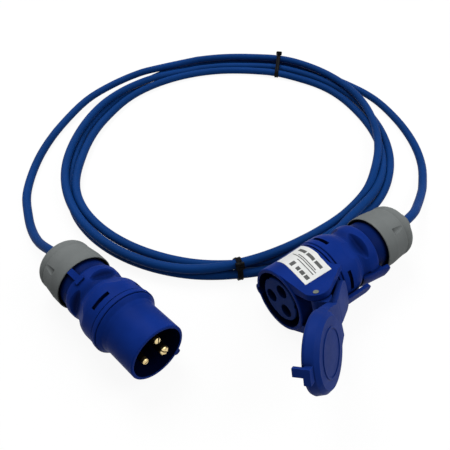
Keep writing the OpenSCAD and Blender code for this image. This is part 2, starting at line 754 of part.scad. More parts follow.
module coupler_clamp_ring() {
    color(grey) at_coupler() translate([0, 0, coupler_rear_z]) clamp_ring(coupler_bare_neck);
}
module coupler_gland_nut() {
    color(grey) at_coupler() translate([0, 0, coupler_rear_z - nut_s(coupler_bare_neck)])
        rotate([0, 0, coupler_nut_turn]) gland_nut();
}

// Lid, drawn closed and swung open about the hinge pin
module swung_open() {
    at_coupler() translate([0, hinge_height, -hinge_setback]) rotate([-lid_angle, 0, 0])
        translate([0, -hinge_height, hinge_setback]) children();
}
lever_half = 11.6;
lever_tip_r = 8.4;
lever_tip_t = 2.6;
lever_t = 4.2;
hook_w = 5.4;
hook_t = 3;
hook_reach = 4.6;
hook_turn = -16;
hook_gap = 1.1;
module lid_arm() {
    tip_y = hinge_height + lever_len;
    top_z = lid_z + lid_depth;
    start_y = lid_rim_r * 0.7;
    root_half = lever_half * 0.8;
    intersection() {
        translate([-lever_half - over, 0, 0]) rotate([90, 0, 90]) linear_extrude(2 * (lever_half + over))
            polygon([[start_y, lid_z], [tip_y + over, lid_z], [tip_y + over, lid_z + lever_tip_t],
                [hinge_height + 6, lid_z + lever_t], [hinge_height - 5, lid_z + lever_t],
                [lid_face_r, top_z - lid_bevel], [start_y, top_z - lid_bevel]]);
        translate([0, 0, lid_z - over]) linear_extrude(lid_depth + 2 * over)
            polygon(concat([[-root_half, start_y], [root_half, start_y], [root_half, hinge_height]],
                arc(lever_half - lever_tip_r, tip_y - lever_tip_r, lever_tip_r, -5, 90, 8),
                arc(lever_tip_r - lever_half, tip_y - lever_tip_r, lever_tip_r, 90, 185, 8),
                [[-root_half, hinge_height]]));
    }
}
module lid_knuckle() {
    half = cheek_x - side_play;
    translate([-half, hinge_height, -hinge_setback]) rotate([0, 90, 0])
        cylinder(r = knuckle_r, h = 2 * half);
    translate([-half, hinge_height - knuckle_r + 0.3, -hinge_setback])
        cube([2 * half, 2 * knuckle_r - 0.6, lid_t + edge]);
}
// Hook at the lid's free edge, beside the keyway's bulge
module lid_hook() {
    inner_y = lid_rim_r + hook_gap;
    lobe_lift = 2;
    lobe_rise = 4.4;
    lobe_side = 4.6;
    rotate([0, 0, hook_turn]) {
        translate([-hook_w / 2, -inner_y - hook_t, lid_z - hook_reach])
            cube([hook_w, hook_t, hook_reach + 5]);
        translate([-hook_w / 2, -inner_y - hook_t, lid_z + lobe_lift])
            cube([hook_w + lobe_side, hook_t + 8, lobe_rise]);
    }
}
// Square shoulders between the lid's round rim and its arm
shoulder_half = 20;
shoulder_y = 17.6;
module lid_shoulders() {
    neck_half = cheek_x - side_play;
    neck_y = hinge_height - knuckle_r;
    translate([0, 0, lid_z]) linear_extrude(lid_depth - lid_bevel)
        polygon([[-lid_face_r, 0], [-shoulder_half, shoulder_y], [-neck_half, neck_y], [neck_half, neck_y],
            [shoulder_half, shoulder_y], [lid_face_r, 0]]);
}
module coupler_lid() {
    top_z = lid_z + lid_depth;
    color(lid_blue) swung_open() difference() {
        union() {
            turned([[0, lid_z], [lid_rim_r - edge, lid_z], [lid_rim_r, lid_z + 3 * edge],
                [lid_face_r, top_z - lid_bevel], [lid_face_r - lid_bevel, top_z], [0, top_z]]);
            lid_shoulders();
            lid_arm();
            lid_knuckle();
            lid_hook();
        }
        translate([0, 0, lid_z - over]) cylinder(r = gasket_r + fit, h = gasket_t + over);
        translate([0, 0, lid_z - over])
            cylinder(r = gasket_r - gasket_w + fit, h = lid_depth - lid_wall + over);
        translate([0, hinge_height, -hinge_setback]) rotate([0, 90, 0])
            cylinder(d = hinge_pin_d + 2 * hinge_play, h = 3 * cheek_out, center = true);
    }
}
module lid_gasket() {
    color(black) swung_open() translate([0, 0, lid_gap]) difference() {
        cylinder(r = gasket_r, h = lid_z + gasket_t - fit - lid_gap);
        translate([0, 0, -over]) cylinder(r = gasket_r - gasket_w, h = lid_z + gasket_t + 2 * over);
    }
}
module hinge_pin() {
    half = cheek_out + 0.3;
    color(steel) at_coupler() translate([-half, hinge_height, -hinge_setback]) rotate([0, 90, 0])
        cylinder(d = hinge_pin_d, h = 2 * half);
}

// Cable, straight through each gland and then along its route
straight_len = 6;
function axis_stops(bare) =
    let (back = nut_s(bare) + nut_len) [jacket_end_s(bare), thread_s(bare), back, back + straight_len];
plug_axis_points = [for (s = axis_stops(plug_bare_neck)) plug_point(s)];
coupler_axis_points = [for (s = axis_stops(coupler_bare_neck)) coupler_point(s)];
module plug_lead() {
    color(cable_blue)
        tube(smooth(concat(plug_axis_points, plug_route), 2), cable_r);
}
module coupler_lead() {
    color(cable_blue)
        tube(smooth(concat(coupler_axis_points, coupler_route), 2), cable_r);
}
function oval(grow) = concat(
    arc(end_offset, 0, coil_end_r + grow, -arc_half, arc_half, 16),
    arc(0, -side_offset, side_r + grow, arc_half, 180 - arc_half, 16),
    arc(-end_offset, 0, coil_end_r + grow, 180 - arc_half, 180 + arc_half, 16),
    arc(0, side_offset, side_r + grow, 180 + arc_half, 360 - arc_half, 16)
);
module at_coil() {
    translate([coil_x, coil_y, 0]) rotate([0, 0, coil_turn]) children();
}
module cable_coil() {
    beside_coupler = coupler_y + coupler_collar_d / 2 + edge;
    color(cable_blue) difference() {
        at_coil() translate([0, 0, coil_z]) linear_extrude(coil_h) difference() {
            polygon(oval(coil_w / 2));
            polygon(oval(-coil_w / 2));
        }
        // The bundle is squeezed narrower where it runs past the coupler
        translate([coil_x - coil_a, beside_coupler - coil_w, coil_z - over])
            cube([2 * coil_a, coil_w, coil_h + 2 * over]);
    }
}
// Strap round the bundle at a direction on one of the coil's end arcs, its head on the outside
module tie(end, direction, head_z) {
    inner_w = coil_w + 2 * strap_room;
    inner_h = coil_h + 2 * strap_room;
    head = [4.6, 6.4, 5.4];
    color(black) at_coil() rotate([0, 0, end]) translate([end_offset, 0, 0]) rotate([0, 0, direction])
        translate([coil_end_r, 0, 0]) {
            difference() {
                translate([-inner_w / 2 - tie_t, -tie_w / 2, coil_z - strap_room - tie_t])
                    cube([inner_w + 2 * tie_t, tie_w, inner_h + 2 * tie_t]);
                translate([-inner_w / 2, -tie_w, coil_z - strap_room]) cube([inner_w, 2 * tie_w, inner_h]);
            }
            translate([inner_w / 2 + tie_t / 2, -head[1] / 2, head_z]) cube(head);
        }
}
module tie_rear() { tie(0, 9, coil_h - 4); }
module tie_front() { tie(180, 36, 2); }

plug_body();
plug_carrier();
plug_pin_line();
plug_pin_neutral();
plug_pin_earth();
plug_terminal_screws();
plug_cores();
plug_rear_housing();
plug_seal();
plug_clamp_ring();
plug_gland_nut();
coupler_body();
coupler_carrier();
coupler_sleeve_line();
coupler_sleeve_neutral();
coupler_sleeve_earth();
coupler_terminal_screws();
coupler_cores();
coupler_rear_housing();
coupler_seal();
coupler_clamp_ring();
coupler_gland_nut();
coupler_lid();
lid_gasket();
hinge_pin();
plug_lead();
coupler_lead();
cable_coil();
tie_rear();
tie_front();
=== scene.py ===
import math

import bmesh
import bpy
from mathutils import Matrix, Vector
from mathutils.bvhtree import BVHTree
from mathutils.geometry import convex_hull_2d


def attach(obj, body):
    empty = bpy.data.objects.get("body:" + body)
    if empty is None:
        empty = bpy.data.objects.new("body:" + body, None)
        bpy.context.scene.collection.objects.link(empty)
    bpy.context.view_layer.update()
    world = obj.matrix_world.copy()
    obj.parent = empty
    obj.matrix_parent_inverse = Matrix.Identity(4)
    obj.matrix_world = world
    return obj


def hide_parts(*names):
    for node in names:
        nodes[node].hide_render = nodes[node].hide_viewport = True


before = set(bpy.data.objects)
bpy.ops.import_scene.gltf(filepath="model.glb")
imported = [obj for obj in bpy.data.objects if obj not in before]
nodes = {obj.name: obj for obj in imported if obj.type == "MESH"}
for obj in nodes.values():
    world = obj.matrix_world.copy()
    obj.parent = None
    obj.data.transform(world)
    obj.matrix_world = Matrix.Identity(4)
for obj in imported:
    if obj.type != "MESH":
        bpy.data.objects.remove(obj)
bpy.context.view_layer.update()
scene = bpy.context.scene
MM = 0.001
UP = Vector((0, 0, 1))


def mm(x, y, z):
    """A point given in millimetres, in metres."""
    return Vector((x * MM, y * MM, z * MM))


def turn(axis, degrees):
    """A rotation about one of the axes."""
    return Matrix.Rotation(math.radians(degrees), 4, axis)


# Places of the two connectors, as in the part's source, in millimetres and degrees
PLUG_PLACE = (-95.26, -18.18, 28.150)
PLUG_TURN = 8.4
PLUG_TILT = 2.736
COUPLER_PLACE = (-0.86, -31.68, 27)
COUPLER_ROLL = 25.6
PLUG = Matrix.Translation(mm(*PLUG_PLACE)) @ turn("Z", PLUG_TURN) @ turn("X", 90 - PLUG_TILT)
COUPLER = Matrix.Translation(mm(*COUPLER_PLACE)) @ turn("Y", -90) @ turn("Z", 180 + COUPLER_ROLL)

# The lid, drawn closed on the coupler and swung open about its hinge, and the height of its outer face
HINGE_PLACE = (0, 38, -7.2)
LID_OPEN = 121
LID_FACE_Z = 10.663
HINGE = Matrix.Translation(mm(*HINGE_PLACE))
LID = COUPLER @ HINGE @ turn("X", -LID_OPEN) @ HINGE.inverted()

# Camera at the photograph's viewing angle: sizes in pixels, place in millimetres, clipping in metres
PHOTO_SIZE = 450
FOCAL_PIXELS = 522.6
SENSOR_MM = 36
CAMERA_PLACE = (-168.25, -195.18, 338.4)
CAMERA_HEADING = 36.04
CAMERA_DOWN = 45.28
CAMERA_CLIP = (0.01, 20)


def make_camera():
    data = bpy.data.cameras.new("camera")
    data.sensor_width = SENSOR_MM
    data.lens = FOCAL_PIXELS / PHOTO_SIZE * SENSOR_MM
    data.clip_start, data.clip_end = CAMERA_CLIP
    camera = bpy.data.objects.new("camera", data)
    scene.collection.objects.link(camera)
    camera.matrix_world = (
        Matrix.Translation(mm(*CAMERA_PLACE)) @ turn("Z", -CAMERA_HEADING) @ turn("X", 90 - CAMERA_DOWN)
    )
    scene.camera = camera


# Materials

# Inputs and output of a Mix node that mixes colours
MIX_FACTOR, MIX_A, MIX_B, MIX_RESULT = 0, 6, 7, 2
# Cosine between a surface and its rounded edge, from plain to worn and lit by a painted highlight
WORN_AND_LIT_EDGE_RANGE = (0.985, 0.80)
EDGE_SAMPLES = 6
# Openness of a place on the surface, from unshaded to fully darkened by painted shade
HOLLOW_SHADE_RANGE = (0.90, 0.36)
HOLLOW_SAMPLES = 8
# A bore starts just behind the rim, and the face behind it lies within a radius
BORE_START = -0.3
BORE_FACE_R = 26.6


def socket(node, name):
    """An input of a node by its name."""
    return node.inputs[name]


def add_node(tree, kind, **values):
    """A new node with its settings."""
    node = tree.nodes.new(kind)
    for key, value in values.items():
        setattr(node, key, value)
    return node


class Paint:
    """Builds one material's nodes step by step."""

    def __init__(self, name, metallic=0.0, specular=0.5):
        self.material = bpy.data.materials.new(name)
        self.material.use_nodes = True
        self.tree = self.material.node_tree
        self.shader = self.tree.nodes["Principled BSDF"]
        socket(self.shader, "Metallic").default_value = metallic
        socket(self.shader, "Specular IOR Level").default_value = specular
        self.place = self.add("ShaderNodeTexCoord").outputs["Object"]
        self.bump = None
        self.soft = None

    def add(self, kind, **values):
        return add_node(self.tree, kind, **values)

    def link(self, a, b):
        self.tree.links.new(a, b)

    def noise(self, cells, detail):
        """Cloudy noise, with a number of cells per metre."""
        node = self.add("ShaderNodeTexNoise")
        socket(node, "Scale").default_value = cells
        socket(node, "Detail").default_value = detail
        self.link(self.place, socket(node, "Vector"))
        return node.outputs["Fac"]

    def spread(self, factor, low, high):
        """A factor from 0 to 1 taken to a range."""
        node = self.add("ShaderNodeMapRange")
        socket(node, "To Min").default_value = low
        socket(node, "To Max").default_value = high
        self.link(factor, socket(node, "Value"))
        return node.outputs["Result"]

    def between(self, value, start, end):
        """0 at the start value, 1 at the end value."""
        node = self.add("ShaderNodeMapRange")
        socket(node, "From Min").default_value = start
        socket(node, "From Max").default_value = end
        self.link(value, socket(node, "Value"))
        return node.outputs["Result"]

    def math(self, operation, a, b):
        """Two values taken together by an operation, the second an output or a number."""
        node = self.add("ShaderNodeMath", operation=operation)
        self.link(a, node.inputs[0])
        if isinstance(b, (int, float)):
            node.inputs[1].default_value = b
        else:
            self.link(b, node.inputs[1])
        return node.outputs["Value"]

    def mix(self, factor, a, b):
        """A colour that goes from an output to a second colour."""
        node = self.add("ShaderNodeMix", data_type="RGBA")
        self.link(factor, node.inputs[MIX_FACTOR])
        self.link(a, node.inputs[MIX_A])
        node.inputs[MIX_B].default_value = (*b, 1)
        return node.outputs[MIX_RESULT]

    def drift(self, cells, detail, dark, light, ends=(0.3, 0.7)):
        """A colour that drifts between two over the surface."""
        node = self.add("ShaderNodeValToRGB")
        for element, position, colour in zip(node.color_ramp.elements, ends, (dark, light)):
            element.position = position
            element.color = (*colour, 1)
        self.link(self.noise(cells, detail), socket(node, "Fac"))
        return node.outputs["Color"]

    def local(self, place):
        """Distance from a connector's axis and height along it."""
        back = place.inverted()
        mapping = self.add("ShaderNodeMapping")
        socket(mapping, "Rotation").default_value = back.to_euler()
        socket(mapping, "Location").default_value = back.to_translation()
        self.link(self.place, socket(mapping, "Vector"))
        flat = self.add("ShaderNodeVectorMath", operation="MULTIPLY")
        flat.inputs[1].default_value = (1, 1, 0)
        self.link(mapping.outputs["Vector"], flat.inputs[0])
        radius = self.add("ShaderNodeVectorMath", operation="LENGTH")
        self.link(flat.outputs["Vector"], radius.inputs[0])
        parts = self.add("ShaderNodeSeparateXYZ")
        self.link(mapping.outputs["Vector"], parts.inputs[0])
        return radius.outputs["Value"], parts.outputs["Z"]

    def within(self, radius, height, most_radius, most_height):
        """1 nearer the axis and further back than the given millimetres, else 0."""
        near = self.math("LESS_THAN", radius, most_radius * MM)
        return self.math("MULTIPLY", near, self.math("LESS_THAN", height, most_height * MM))

    def inside(self, place, bore_r, rear):
        """1 in a connector's bore and on the face behind it."""
        radius, height = self.local(place)
        bore = self.within(radius, height, bore_r, BORE_START)
        return self.math("MAXIMUM", bore, self.within(radius, height, BORE_FACE_R, rear))

    def worn_and_lit_edges(self):
        """1 along the hard edges, fading to 0 on the flats; marks both wear and a painted highlight."""
        dot = self.add("ShaderNodeVectorMath", operation="DOT_PRODUCT")
        self.link(self.soft, dot.inputs[0])
        self.link(self.add("ShaderNodeNewGeometry").outputs["Normal"], dot.inputs[1])
        return self.between(dot.outputs["Value"], *WORN_AND_LIT_EDGE_RANGE)

    def hollows(self, reach):
        """1 deep in hollows and corners, 0 in the open; used to paint shade there."""
        shade = self.add("ShaderNodeAmbientOcclusion", samples=HOLLOW_SAMPLES)
        socket(shade, "Distance").default_value = reach
        return self.between(shade.outputs["AO"], *HOLLOW_SHADE_RANGE)

    def colour(self, output):
        self.link(output, socket(self.shader, "Base Color"))

    def roughness(self, cells, detail, low, high):
        """Roughness that wanders between two values."""
        self.link(self.spread(self.noise(cells, detail), low, high), socket(self.shader, "Roughness"))

    def grain(self, cells, detail, strength, depth):
        """A bump of noise on top of the ones before it."""
        node = self.add("ShaderNodeBump")
        socket(node, "Strength").default_value = strength
        socket(node, "Distance").default_value = depth
        self.link(self.noise(cells, detail), socket(node, "Height"))
        if self.bump is not None:
            self.link(self.bump, socket(node, "Normal"))
        self.bump = node.outputs["Normal"]
        self.link(self.bump, socket(self.shader, "Normal"))

    def rounded(self, radius):
        """Softens hard edges in the shading."""
        node = self.add("ShaderNodeBevel", samples=EDGE_SAMPLES)
        socket(node, "Radius").default_value = radius
        self.soft = node.outputs["Normal"]
        self.bump = self.soft
        self.link(self.bump, socket(self.shader, "Normal"))


# Moulded plastic: how much paler its worn edges are, part wear and part painted highlight, and how far
# and how dark painted shade falls in hollows
WEAR_AND_HIGHLIGHT_GAIN = 1.7
WEAR_AND_HIGHLIGHT_LIFT = 0.003
WEAR_AND_HIGHLIGHT_SHARE = (0.1, 0.75)
HOLLOW_SHADE_REACH = 0.018
HOLLOW_SHADE_SHARE = 0.92
HOLLOW_SHADE_DARKNESS = 0.18
# Painted shade low in the scallops and on the necks of the rear housings, and painted shade inside the
# bores
SUNK_SHADE_SHARE = 0.62
SUNK_PAINTED_SHADE = 0.15
BORE_SHADE = 0.12
# How far its roughness wanders to either side
ROUGH_BELOW = 0.06
ROUGH_ABOVE = 0.08
# Rounding of the edges of small metal pieces and of the ties, in metres
FINE_EDGE = 0.0002


def scaled(colour, factor, lift=0.0):
    """A colour made darker or paler by a factor."""
    return [min(1, factor * c + lift) for c in colour]


def moulded(name, dark, light, rough, grain, edge, specular=0.015, bore=None, scallops=None):
    """Moulded plastic: slight colour drift, paler edges that are part wear and part painted highlight,
    painted shade in hollows and fine mould grain.
    """
    paint = Paint(name, specular=specular)
    paint.rounded(edge)
    colour = paint.drift(cells=38, detail=4, dark=dark, light=light)
    # Paler edges: part wear, part painted highlight along the rims
    edge_wear_and_highlight = paint.spread(paint.noise(cells=140, detail=3), *WEAR_AND_HIGHLIGHT_SHARE)
    edge_wear_and_highlight = paint.math("MULTIPLY", paint.worn_and_lit_edges(), edge_wear_and_highlight)
    colour = paint.mix(edge_wear_and_highlight, colour, scaled(light, WEAR_AND_HIGHLIGHT_GAIN, WEAR_AND_HIGHLIGHT_LIFT))
    # Painted shade: darkens the colour in hollows and corners, where shade falls
    hollow_shade = paint.math("MULTIPLY", paint.hollows(HOLLOW_SHADE_REACH), HOLLOW_SHADE_SHARE)
    colour = paint.mix(hollow_shade, colour, scaled(dark, HOLLOW_SHADE_DARKNESS))
    # Painted shade that deepens nearer the axis, in the scallops and on the neck before the nut
    if scallops is not None:
        place, open_r, deep_r = scallops
        radius, _ = paint.local(place)
        low = paint.math("MULTIPLY", paint.between(radius, open_r * MM, deep_r * MM), SUNK_SHADE_SHARE)
        colour = paint.mix(low, colour, scaled(dark, SUNK_PAINTED_SHADE))
    # Painted shade inside the bore and on the parts seen behind the rear face, where little light
    # reaches
    if bore is not None:
        colour = paint.mix(paint.inside(*bore), colour, scaled(dark, BORE_SHADE))
    paint.colour(colour)
    paint.roughness(cells=210, detail=5, low=rough - ROUGH_BELOW, high=rough + ROUGH_ABOVE)
    paint.grain(cells=2600, detail=2, strength=grain, depth=0.00008)
    paint.grain(cells=90, detail=2, strength=0.12, depth=0.0006)
    return paint.material


# Brass of the pins: bright at the tips, and darkened by painted shade further in, over these heights on
# the plug's axis
BRASS_DARK = (0.62, 0.45, 0.19)
BRASS_LIGHT = (0.86, 0.70, 0.38)
BRASS_SHADED = (0.075, 0.052, 0.022)
BRASS_SHADE_FADE = (-2.6, -5.0)


def brass_paint():
    """Turned brass, bright at the tips and darkened by painted shade further in."""
    paint = Paint("contact_brass", metallic=1.0)
    paint.rounded(FINE_EDGE)
    bright = paint.drift(cells=320, detail=5, dark=BRASS_DARK, light=BRASS_LIGHT, ends=(0.3, 0.65))
    # Painted shade on the pin shanks deep inside the shroud
    _, height = paint.local(PLUG)
    depth = paint.between(height, *[z * MM for z in BRASS_SHADE_FADE])
    paint.colour(paint.mix(depth, bright, BRASS_SHADED))
    paint.roughness(cells=900, detail=4, low=0.24, high=0.44)
    paint.grain(cells=1500, detail=2, strength=0.15, depth=0.0001)
    return paint.material


def steel_paint():
    """Dull steel of the hinge pin and the screws."""
    paint = Paint("pin_steel", metallic=1.0)
    paint.rounded(FINE_EDGE)
    paint.colour(paint.drift(cells=500, detail=4, dark=(0.12, 0.14, 0.11), light=(0.20, 0.22, 0.18)))
    paint.roughness(cells=1200, detail=4, low=0.25, high=0.42)
    return paint.material


def rubber_paint(name, dark, light):
    """Matt rubber of seals and core insulation."""
    paint = Paint(name, specular=0.35)
    paint.colour(paint.drift(cells=160, detail=5, dark=dark, light=light))
    paint.roughness(cells=600, detail=3, low=0.55, high=0.75)
    paint.grain(cells=1800, detail=3, strength=0.3, depth=0.0001)
    return paint.material


CABLE_DARK = (0.0033, 0.030, 0.132)
CABLE_LIGHT = (0.0046, 0.039, 0.176)


def cable_paint():
    """Smooth jacket with a slight waviness and a fine grain."""
    paint = Paint("cable_jacket", specular=0.02)
    paint.colour(paint.drift(cells=16, detail=5, dark=CABLE_DARK, light=CABLE_LIGHT, ends=(0.3, 0.72)))
    paint.roughness(cells=130, detail=5, low=0.36, high=0.52)
    paint.grain(cells=420, detail=3, strength=0.10, depth=0.0004)
    paint.grain(cells=2400, detail=2, strength=0.20, depth=0.00008)
    return paint.material


NYLON_DARK = (0.0025, 0.0025, 0.003)
NYLON_LIGHT = (0.006, 0.006, 0.007)


def nylon_paint():
    """Black nylon of the ties."""
    paint = Paint("tie_nylon", specular=0.03)
    paint.rounded(FINE_EDGE)
    paint.colour(paint.drift(cells=240, detail=4, dark=NYLON_DARK, light=NYLON_LIGHT))
    paint.roughness(cells=700, detail=3, low=0.32, high=0.5)
    paint.grain(cells=2000, detail=2, strength=0.2, depth=0.00008)
    return paint.material


def paper_paint(name, dark, light):
    """Film of the label, plain or printed."""
    paint = Paint(name, specular=0.4)
    paint.colour(paint.drift(cells=120, detail=5, dark=dark, light=light))
    paint.roughness(cells=500, detail=3, low=0.42, high=0.55)
    paint.grain(cells=1500, detail=3, strength=0.1, depth=0.00006)
    return paint.material


# Finish of both housings, each bore's radius and rear face for its painted shade, and the radii over
# which painted shade darkens the scallops and necks
HOUSING = {
    "dark": (0.0036, 0.0195, 0.150), "light": (0.0050, 0.0265, 0.205),
    "rough": 0.40, "grain": 0.25, "edge": 0.0005,
}
PLUG_BORE = (PLUG, 19.9, -40.0)
COUPLER_BORE = (COUPLER, 22.7, -41.8)
PLUG_SCALLOPS = (PLUG, 22.0, 20.2)
COUPLER_SCALLOPS = (COUPLER, 23.4, 20.4)


def make_paints():
    return {
        "plug": moulded("plug_blue", bore=PLUG_BORE, **HOUSING),
        "coupler": moulded("coupler_blue", bore=COUPLER_BORE, **HOUSING),
        "plug_rear": moulded("plug_rear_blue", scallops=PLUG_SCALLOPS, **HOUSING),
        "coupler_rear": moulded("coupler_rear_blue", scallops=COUPLER_SCALLOPS, **HOUSING),
        "insert": moulded("insert_blue", dark=(0.0040, 0.020, 0.120), light=(0.0060, 0.028, 0.160),
                          rough=0.45, grain=0.25, edge=0.0004),
        # The lid is the same plastic as the housings; this greyer, darker copy of their blue is painted
        # to stand in for the sheen and shade on the lid
        "lid": moulded("lid_blue", dark=(0.0044, 0.0205, 0.140), light=(0.0060, 0.0270, 0.185),
                       rough=0.46, grain=0.35, edge=0.0005, specular=0.03),
        "grey": moulded("gland_grey", dark=(0.130, 0.141, 0.141), light=(0.159, 0.171, 0.171),
                        rough=0.55, grain=0.45, edge=0.0006),
        # The plug's carrier is painted near black as shade, to keep the inside of the shroud dark
        "black": moulded("carrier_black", dark=(0.0012, 0.0012, 0.002), light=(0.0024, 0.0024, 0.004),
                         rough=0.6, grain=0.3, edge=0.0004),
        "brass": brass_paint(),
        "steel": steel_paint(),
        "rubber": rubber_paint("seal_rubber", dark=(0.006, 0.006, 0.007), light=(0.014, 0.014, 0.016)),
        "core": rubber_paint("core_insulation", dark=(0.10, 0.05, 0.02), light=(0.14, 0.07, 0.03)),
        "cable": cable_paint(),
        "nylon": nylon_paint(),
        "label": paper_paint("label_film", dark=(0.60, 0.61, 0.60), light=(0.68, 0.69, 0.68)),
        "ink": paper_paint("label_bars", dark=(0.030, 0.032, 0.032), light=(0.050, 0.054, 0.052)),
    }


# Which nodes take which paint
NODE_PAINT = {
    "plug": ["plug_body"],
    "coupler": ["coupler_body"],
    "plug_rear": ["plug_rear_housing"],
    "coupler_rear": ["coupler_rear_housing"],
    "insert": ["coupler_carrier"],
    "lid": ["coupler_lid"],
    "grey": ["plug_gland_nut", "coupler_gland_nut", "plug_clamp_ring", "coupler_clamp_ring"],
    "black": ["plug_carrier"],
    "brass": ["plug_pin_line", "plug_pin_neutral", "plug_pin_earth", "coupler_sleeve_line",
              "coupler_sleeve_neutral", "coupler_sleeve_earth"],
    "steel": ["plug_terminal_screws", "coupler_terminal_screws", "hinge_pin"],
    "rubber": ["plug_seal", "coupler_seal", "lid_gasket"],
    "core": ["plug_cores", "coupler_cores"],
}


def dress_nodes(paints):
    for paint, names in NODE_PAINT.items():
        for name in names:
            mesh = nodes[name].data
            mesh.materials.clear()
            mesh.materials.append(paints[paint])


# Meshes of the pieces

def close_rings(bm, rings):
    """Faces round a closed row of closed rings."""
    count, sides = len(rings), len(rings[0])
    for i in range(count):
        a, b = rings[i], rings[(i + 1) % count]
        for k in range(sides):
            m = (k + 1) % sides
            bm.faces.new((a[k], a[m], b[m], b[k]))


def make_piece(name, bm, materials):
    """An object from a finished mesh, with its materials."""
    bmesh.ops.recalc_face_normals(bm, faces=bm.faces)
    mesh = bpy.data.meshes.new(name)
    bm.to_mesh(mesh)
    bm.free()
    for material in materials:
        mesh.materials.append(material)
    mesh.shade_smooth()
    piece = bpy.data.objects.new(name, mesh)
    scene.collection.objects.link(piece)
    return piece


# Cable, in millimetres

# Its diameter, the height of its middle line where it lies on the floor, and the steps of its roundness
CABLE_D = 8.0
CABLE_REST = 4.2
CABLE_ROUNDNESS = 6

# Oval that the coil's turns follow, as in the part's source; directions count from the photo's right
COIL_CENTRE = (101.14, 165.32)
COIL_HALF_LENGTH = 174.5
COIL_HALF_WIDTH = 154.5
COIL_TURN = 26.0
COIL_HEADING = -36.0

# Routes of the two leads from each gland to the coil, as in the part's source
PLUG_ROUTE = [
    (-118.3, 141.2, 12.5), (-116.8, 166.2, 6), (-111.8, 189.2, 4.2), (-102.3, 217.2, 4.2),
    (-83.3, 248.2, 4.2), (-59.3, 277.2, 4.2), (-28.3, 304.2, 5), (13.7, 329.2, 8), (51.7, 338.7, 10.5),
    (88.7, 340.7, 12.5), (115.7, 337.7, 12.5),
]
COUPLER_ROUTE = [
    (157.7, -26.8, 22.5), (175.7, -18.3, 16), (193.7, -8.8, 11), (210.7, 1.7, 7), (237.7, 23.7, 4.2),
    (258.7, 50.2, 4.2), (276.2, 83.2, 4.2), (288.7, 120.2, 4.2), (292.7, 148.2, 4.2),
    (290.7, 175.2, 4.2),
]
# Where the cable changes its place in the bundle, as (direction, lanes out from the oval, layers up
# from the floor); the directions run on through a little more than three turns
COIL_LANES = [
    (105, 1.25, 0.95), (80, 0.95, 0.95), (60, 1.1, 1.0), (38, 0.5, 1.0), (10, -0.4, 1.0),
    (-14, -0.65, 0.95), (-30, -0.6, 0.5), (-46, -1.1, 0.0), (-60, -1.3, 0.15), (-75, -0.5, 0.95),
    (-105, 1.1, 1.0), (-150, 0.85, 0.95), (-180, 0.55, 0.9), (-208, 0.6, 1.0), (-230, 0.2, 0.8),
    (-252, 0.15, 0.0), (-280, -0.25, 0.0), (-314, 0.35, 0.0), (-340, 0.45, 0.0), (-372, 1.15, 0.0),
    (-394, 1.05, 0.0), (-411, -0.15, 0.0), (-440, -0.25, 0.0), (-470, -0.55, 0.25), (-506, -0.15, 0.65),
    (-532, -1.05, 0.45), (-560, -0.95, 0.2), (-588, -0.65, 0.1), (-645, -1.8, 0.0), (-675, -1.15, 0.0),
    (-697, -0.95, 0.0), (-722, -0.1, 0.1), (-745, 0.35, 0.55), (-768, 0.15, 1.0), (-792, 0.9, 0.0),
    (-825, 0.85, 0.0), (-860, 0.9, 0.0), (-887, 0.05, 0.0), (-915, 0.35, 0.0), (-934, 0.55, 0.0),
    (-970, 1.65, 0.0), (-1000, 1.4, 0.0), (-1033, 1.9, 0.0),
]
# Steps between two of these places, and then between two points of the whole run
LANE_STEPS = 6
ROUTE_STEPS = 4

# The two ties: their directions on the coil, the distance of their middles from its centre, and how far
# to either side of that they hold strands
TIE_DIRECTIONS = (69.0, 271.5)
TIE_MIDDLE = 170.0
TIE_REACH = 32.0
# Rise of the cable where it lies on a strap, and how many degrees it takes
STRAP_LIFT = 1.3
STRAP_LIFT_WIDTH = 9.0

# Backs of the gland nuts on the connectors' axes, and how far the cable runs straight in and out
PLUG_NUT_BACK = -130.0
COUPLER_NUT_BACK = -134.8
CABLE_INSIDE = 24.0
CABLE_STRAIGHT = 6.0


def strap_lift(point):
    """Height that the straps under the coil add at a point of the cable."""
    x, y = point.x - COIL_CENTRE[0], point.y - COIL_CENTRE[1]
    if abs(math.hypot(x, y) - TIE_MIDDLE) > TIE_REACH:
        return 0.0
    direction = math.degrees(math.atan2(y, x)) - COIL_HEADING
    lift = 0.0
    for tie in TIE_DIRECTIONS:
        off = (direction - tie + 180) % 360 - 180
        lift += STRAP_LIFT * math.exp(-(off / STRAP_LIFT_WIDTH) ** 2)
    return lift


def coil_point(direction, lane, layer):
    """A point of the coil, a number of lanes out from the oval and layers up from the floor."""
    angle = math.radians(direction + COIL_HEADING)
    mean = (COIL_HALF_LENGTH + COIL_HALF_WIDTH) / 2
    swell = (COIL_HALF_LENGTH - COIL_HALF_WIDTH) / 2
    radius = mean + swell * math.cos(2 * (angle - math.radians(COIL_TURN))) + lane * CABLE_D
    x = COIL_CENTRE[0] + radius * math.cos(angle)
    y = COIL_CENTRE[1] + radius * math.sin(angle)
    return Vector((x, y, CABLE_REST + max(layer, 0.0) * CABLE_D))


def smooth_run(points, steps):
    """A smooth run through the points, with the given steps between each two."""
    run = []
    last = len(points) - 1
    for i in range(last):
        a, b, c, d = points[max(0, i - 1)], points[i], points[i + 1], points[min(last, i + 2)]
        for k in range(steps):
            t = k / steps
            run.append(0.5 * (2 * b + (c - a) * t + (2 * a - 5 * b + 4 * c - d) * t * t
                              + (3 * b - a - 3 * c + d) * t * t * t))
    run.append(points[last])
    return run


def axis_points(place, nut_back, steps):
    """Points on a connector's axis, at steps from the back of its gland nut."""
    return [place @ mm(0, 0, nut_back + s) / MM for s in steps]


